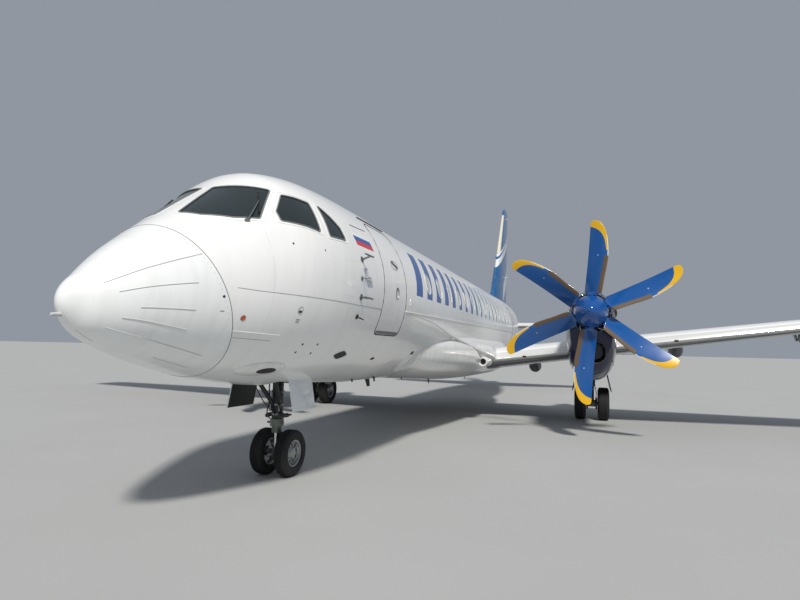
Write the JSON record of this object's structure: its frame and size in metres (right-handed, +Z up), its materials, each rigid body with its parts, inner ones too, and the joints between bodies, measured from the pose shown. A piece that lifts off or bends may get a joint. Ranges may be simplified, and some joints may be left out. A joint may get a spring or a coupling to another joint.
{
  "type": "turboprop airliner",
  "caption": "Low-wing regional airliner with two turboprops, scimitar-bladed propellers, swept fin and tricycle gear on twin wheels, parked.",
  "frame": {"origin": "on the ground, below the middle of the aircraft's box", "axes": "+Z up, -Y towards the nose, +X towards the aircraft's left (port) wing tip"},
  "size_m": [30, 26.88, 9.19],
  "materials": {
    "white_paint": "gloss",
    "white_skin": "gloss",
    "radome_shell": "satin",
    "fairing_shell": "gloss",
    "blue_skin": "gloss",
    "navy_paint": "gloss",
    "blade_blue": "satin",
    "spinner_blue": "gloss",
    "tinted_glass": "gloss",
    "deck_trim": "matte",
    "engine_steel": "satin",
    "burnt_steel": "matte",
    "gear_paint": "satin",
    "wheel_alloy": "satin",
    "tyre_rubber": "matte"
  },
  "bodies": {
    "airframe": {"radome": "radome_shell", "fuselage_nose": "white_paint", "fuselage_centre": "white_paint", "fuselage_rear": "white_skin", "belly_fairing": "fairing_shell", "passenger_door": "white_paint", "rear_door": "white_skin", "flight_deck": "deck_trim", "fin": "blue_skin", "nose_leg": "gear_paint", "windscreen_left": "tinted_glass", "side_window_left": "tinted_glass", "rear_side_window_left": "tinted_glass", "wing_left": "white_paint", "tailplane_left": "white_skin", "nacelle_left": "navy_paint", "engine_left": "engine_steel", "exhaust_left": "burnt_steel", "main_leg_left": "gear_paint", "nose_gear_door_left": "white_skin", "outer_gear_door_left": "white_skin", "inner_gear_door_left": "white_skin", "windscreen_right": "tinted_glass", "side_window_right": "tinted_glass", "rear_side_window_right": "tinted_glass", "wing_right": "white_paint", "tailplane_right": "white_skin", "nacelle_right": "navy_paint", "engine_right": "engine_steel", "exhaust_right": "burnt_steel", "main_leg_right": "gear_paint", "nose_gear_door_right": "white_skin", "outer_gear_door_right": "white_skin", "inner_gear_door_right": "white_skin"},
    "left_propeller": {"propeller_left": "blade_blue", "spinner_left": "spinner_blue"},
    "right_propeller": {"propeller_right": "blade_blue", "spinner_right": "spinner_blue"},
    "nose_steering": {"nose_strut": "gear_paint"},
    "nose_wheel_pair": {"nose_wheels": "wheel_alloy", "nose_tyre_left": "tyre_rubber", "nose_tyre_right": "tyre_rubber"},
    "rudder": {"rudder": "blue_skin"},
    "left_wheel_pair": {"main_wheels_left": "wheel_alloy", "main_tyre_left_left": "tyre_rubber", "main_tyre_left_right": "tyre_rubber"},
    "left_inner_flap": {"inner_flap_left": "white_skin"},
    "left_outer_flap": {"outer_flap_left": "white_skin"},
    "left_aileron": {"aileron_left": "white_skin"},
    "left_spoiler": {"spoiler_left": "white_skin"},
    "left_elevator": {"elevator_left": "white_skin"},
    "right_wheel_pair": {"main_wheels_right": "wheel_alloy", "main_tyre_right_left": "tyre_rubber", "main_tyre_right_right": "tyre_rubber"},
    "right_inner_flap": {"inner_flap_right": "white_skin"},
    "right_outer_flap": {"outer_flap_right": "white_skin"},
    "right_aileron": {"aileron_right": "white_skin"},
    "right_spoiler": {"spoiler_right": "white_skin"},
    "right_elevator": {"elevator_right": "white_skin"}
  },
  "joints": [
    {"name": "left_propeller_spin", "type": "hinge", "parent": "airframe", "child": "left_propeller", "pos_m": [4.2, -4.645, 2.686], "axis": [0, 1, 0], "continuous": true},
    {"name": "right_propeller_spin", "type": "hinge", "parent": "airframe", "child": "right_propeller", "pos_m": [-4.2, -4.645, 2.686], "axis": [0, 1, 0], "continuous": true},
    {"name": "nose_steer", "type": "hinge", "parent": "airframe", "child": "nose_steering", "pos_m": [0, -9.94, 0.7], "axis": [0, 0, 1], "range_deg": [-55, 55]},
    {"name": "nose_wheel_spin", "type": "hinge", "parent": "nose_steering", "child": "nose_wheel_pair", "pos_m": [0, -9.873, 0.32], "axis": [1, 0, 0], "continuous": true},
    {"name": "left_wheel_spin", "type": "hinge", "parent": "airframe", "child": "left_wheel_pair", "pos_m": [4.2, -0.743, 0.44], "axis": [1, 0, 0], "continuous": true},
    {"name": "right_wheel_spin", "type": "hinge", "parent": "airframe", "child": "right_wheel_pair", "pos_m": [-4.2, -0.743, 0.44], "axis": [1, 0, 0], "continuous": true},
    {"name": "left_inner_flap_hinge", "type": "hinge", "parent": "airframe", "child": "left_inner_flap", "pos_m": [2.6, 0.0916, 1.35748], "axis": [0.9896, -0.0426, 0.1372], "range_deg": [-35, 0]},
    {"name": "left_outer_flap_hinge", "type": "hinge", "parent": "airframe", "child": "left_outer_flap", "pos_m": [7.135, -0.10345, 1.98604], "axis": [0.9896, -0.0426, 0.1372], "range_deg": [-35, 0]},
    {"name": "left_aileron_hinge", "type": "hinge", "parent": "airframe", "child": "left_aileron", "pos_m": [12.025, -0.24555, 2.93689], "axis": [0.9906, -0.0479, 0.1285], "range_deg": [-20, 20]},
    {"name": "left_elevator_hinge", "type": "hinge", "parent": "airframe", "child": "left_elevator", "pos_m": [3.025, 11.48095, 3.09969], "axis": [0.998, 0.0576, 0.0249], "range_deg": [-15, 25]},
    {"name": "right_inner_flap_hinge", "type": "hinge", "parent": "airframe", "child": "right_inner_flap", "pos_m": [-2.6, 0.0916, 1.35748], "axis": [0.9896, 0.0426, -0.1372], "range_deg": [-35, 0]},
    {"name": "right_outer_flap_hinge", "type": "hinge", "parent": "airframe", "child": "right_outer_flap", "pos_m": [-7.135, -0.10345, 1.98604], "axis": [0.9896, 0.0426, -0.1372], "range_deg": [-35, 0]},
    {"name": "right_aileron_hinge", "type": "hinge", "parent": "airframe", "child": "right_aileron", "pos_m": [-12.025, -0.24555, 2.93689], "axis": [0.9906, 0.0479, -0.1285], "range_deg": [-20, 20]},
    {"name": "right_elevator_hinge", "type": "hinge", "parent": "airframe", "child": "right_elevator", "pos_m": [-3.025, 11.48095, 3.09969], "axis": [0.998, -0.0576, -0.0249], "range_deg": [-15, 25]},
    {"name": "left_spoiler_hinge", "type": "hinge", "parent": "airframe", "child": "left_spoiler", "pos_m": [7.2, -0.5965, 2.49394], "axis": [0.9932, -0.0148, 0.1153], "range_deg": [0, 50]},
    {"name": "right_spoiler_hinge", "type": "hinge", "parent": "airframe", "child": "right_spoiler", "pos_m": [-7.2, -0.5965, 2.49394], "axis": [0.9932, 0.0148, -0.1153], "range_deg": [0, 50]},
    {"name": "rudder_hinge", "type": "hinge", "parent": "airframe", "child": "rudder", "pos_m": [0, 10.92325, 6.515], "axis": [0, 0.2688, 0.9632], "range_deg": [-25, 25]}
  ],
  "couplings": [
    {"joint": "right_aileron_hinge", "follows": "left_aileron_hinge", "ratio": -1},
    {"joint": "right_elevator_hinge", "follows": "left_elevator_hinge", "ratio": 1},
    {"joint": "right_inner_flap_hinge", "follows": "left_inner_flap_hinge", "ratio": 1},
    {"joint": "left_outer_flap_hinge", "follows": "left_inner_flap_hinge", "ratio": 1},
    {"joint": "right_outer_flap_hinge", "follows": "left_inner_flap_hinge", "ratio": 1}
  ]
}
